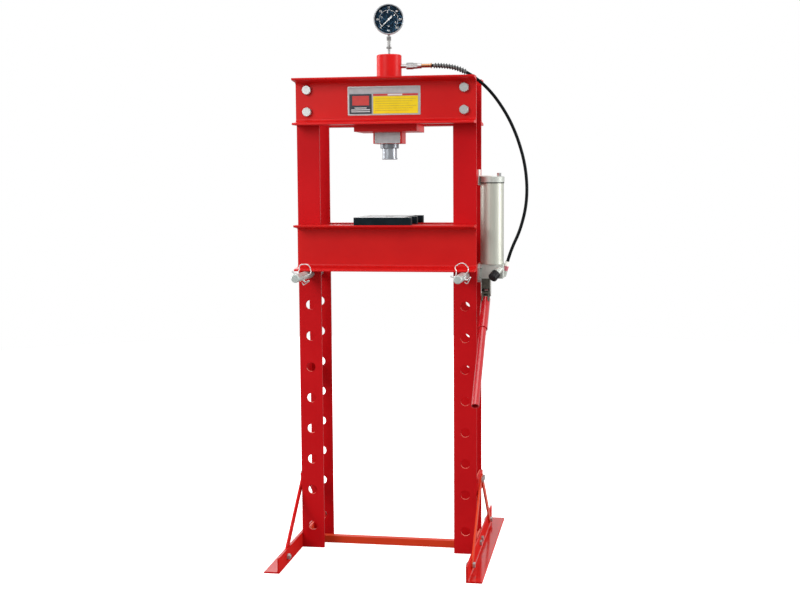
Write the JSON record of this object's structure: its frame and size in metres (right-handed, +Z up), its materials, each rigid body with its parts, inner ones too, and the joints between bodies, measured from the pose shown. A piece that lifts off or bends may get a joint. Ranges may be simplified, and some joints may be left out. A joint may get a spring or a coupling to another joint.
{
  "type": "hydraulic press",
  "caption": "Floor-standing workshop hydraulic press: bolted steel frame, pinned height-adjustable bed, overhead ram, gauge and side-mounted hand pump.",
  "frame": {"origin": "on the floor halfway between the posts, at the middle of the base crossbar's underside", "axes": "+X to the pump's side (right from the front), +Y to the back, +Z up"},
  "size_m": [0.8422, 0.782, 1.891],
  "materials": {
    "red_paint": "gloss enamel",
    "orange_paint": "gloss enamel, a lighter orange red",
    "zinc_bolts": "bright zinc plate",
    "bare_steel": "machined steel",
    "chrome_rod": "polished hard chrome",
    "cast_grey": "cast, satin",
    "reservoir_aluminium": "satin",
    "dark_plate": "dark grey, satin",
    "black_wire": "black wire, semi gloss",
    "dark_steel": "dark, phosphated",
    "dial_print": "dark dial with light marks",
    "needle_white": "light, matt",
    "clear_glass": "clear",
    "plate_print": "printed fields of colour",
    "sign_print": "plain light metal",
    "copper_sleeve": "copper-coloured, satin",
    "hose_rubber": "black rubber",
    "black_plastic": "moulded"
  },
  "bodies": {
    "frame": {"left_post": "red_paint", "right_post": "red_paint", "front_top_beam": "red_paint", "rear_top_beam": "red_paint", "beam_bolts": "zinc_bolts", "beam_nuts": "zinc_bolts", "name_plate": "plate_print", "left_foot": "red_paint", "right_foot": "red_paint", "left_brace_lug": "red_paint", "right_brace_lug": "red_paint", "left_front_brace": "orange_paint", "left_rear_brace": "orange_paint", "right_front_brace": "orange_paint", "right_rear_brace": "orange_paint", "foot_bolts": "zinc_bolts", "foot_nuts": "zinc_bolts", "base_crossbar": "orange_paint", "cylinder_mount_plate": "red_paint", "guide_block": "red_paint", "gland_ring": "bare_steel", "cylinder_barrel": "red_paint", "sign_plate": "sign_print", "gauge_pipe": "bare_steel", "gauge_case": "bare_steel", "gauge_bezel": "chrome_rod", "gauge_dial": "dial_print", "gauge_glass": "clear_glass", "hose_nipple": "bare_steel", "hose_couplings": "bare_steel", "hose_ferrule": "bare_steel", "hose_sleeve": "copper_sleeve", "hose": "hose_rubber", "hose_spring_guard": "black_wire", "port_ferrule": "bare_steel", "port_nut": "bare_steel", "pump_block": "cast_grey", "pump_screws": "zinc_bolts", "reservoir_tube": "reservoir_aluminium", "reservoir_cap": "cast_grey", "reservoir_clip": "cast_grey", "filler_plug": "bare_steel", "valve_neck": "bare_steel", "fulcrum_links": "dark_steel", "fulcrum_pin": "bare_steel"},
    "ram": {"ram": "chrome_rod"},
    "needle": {"gauge_needle": "needle_white"},
    "knob": {"release_knob": "black_plastic"},
    "piston": {"pump_piston": "bare_steel"},
    "lever": {"lever_fork": "dark_steel", "lever_socket": "red_paint", "lever_handle": "red_paint"},
    "bed": {"bed_front_channel": "red_paint", "bed_rear_channel": "red_paint", "bed_spacers": "red_paint", "arbor_plate": "dark_plate"},
    "left_pin": {"left_bed_pin": "bare_steel", "left_lock_pin": "bare_steel"},
    "right_pin": {"right_bed_pin": "bare_steel", "right_lock_pin": "bare_steel"}
  },
  "joints": [
    {"name": "ram_stroke", "type": "slide", "parent": "frame", "child": "ram", "axis": [0, 0, -1], "range_m": [0, 0.15], "stiffness_N_per_m": 400, "springref_m": -0.25},
    {"name": "pump_lever", "type": "hinge", "parent": "frame", "child": "lever", "pos_m": [0.336, -0.018, 0.903], "axis": [-1, 0, 0], "range_deg": [0, 62]},
    {"name": "piston_stroke", "type": "slide", "parent": "frame", "child": "piston", "axis": [0, 0, -1], "range_m": [0, 0.03375]},
    {"name": "bed_lift", "type": "slide", "parent": "frame", "child": "bed", "axis": [0, 0, 1], "range_m": [0, 0.035]},
    {"name": "left_pin_slide", "type": "slide", "parent": "frame", "child": "left_pin", "axis": [0, -1, 0], "range_m": [0, 0.23]},
    {"name": "right_pin_slide", "type": "slide", "parent": "frame", "child": "right_pin", "axis": [0, -1, 0], "range_m": [0, 0.23]},
    {"name": "needle_sweep", "type": "hinge", "parent": "frame", "child": "needle", "pos_m": [0, 0, 1.839], "axis": [-0.1564, 0.9877, 0], "range_deg": [0, 270], "stiffness_Nm_per_rad": 0.002, "springref_deg": -28.65},
    {"name": "release_valve", "type": "hinge", "parent": "frame", "child": "knob", "pos_m": [0.36794, -0.05537, 0.96643], "axis": [-0.5014, -0.6217, -0.6017], "range_deg": [0, 360]}
  ],
  "couplings": [
    {"joint": "piston_stroke", "follows": "pump_lever", "m_per_rad": 0.031095}
  ]
}
